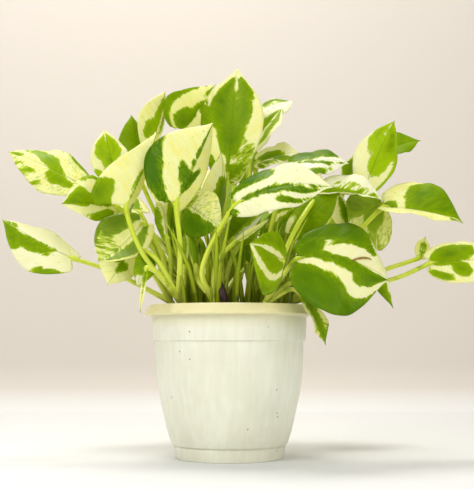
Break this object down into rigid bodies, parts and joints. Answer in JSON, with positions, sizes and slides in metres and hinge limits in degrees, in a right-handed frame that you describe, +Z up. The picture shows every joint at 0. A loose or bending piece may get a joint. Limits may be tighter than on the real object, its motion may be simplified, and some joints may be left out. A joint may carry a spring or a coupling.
{
  "type": "potted pothos plant",
  "caption": "Bushy small-leaved variegated pothos with long petioles and wavy heart-shaped leaves, in a round plastic nursery pot with a stepped collar and skirted rim.",
  "frame": {"origin": "centre of the pot's flat underside", "axes": "+Z up along the pot's axis; -Y toward the plant's best side, as pictured; +X to that viewer's right, the way the plant is widest"},
  "size_m": [0.3922, 0.23, 0.3032],
  "materials": {
    "pot_plastic": "satin",
    "potting_mix": "matte",
    "leafy_stem": "satin"
  },
  "bodies": {
    "root": {"pot": "pot_plastic", "soil": "potting_mix", "leafy_stem_far_left": "leafy_stem", "leafy_stem_front_left": "leafy_stem", "leafy_stem_upper_left": "leafy_stem", "leafy_stem_front_middle": "leafy_stem", "leafy_stem_middle": "leafy_stem", "leafy_stem_front_right": "leafy_stem", "leafy_stem_right": "leafy_stem", "leafy_stem_upper_right": "leafy_stem", "leafy_stem_back_right": "leafy_stem", "leafy_stem_back_middle": "leafy_stem", "leafy_stem_back_left": "leafy_stem"}
  },
  "joints": []
}
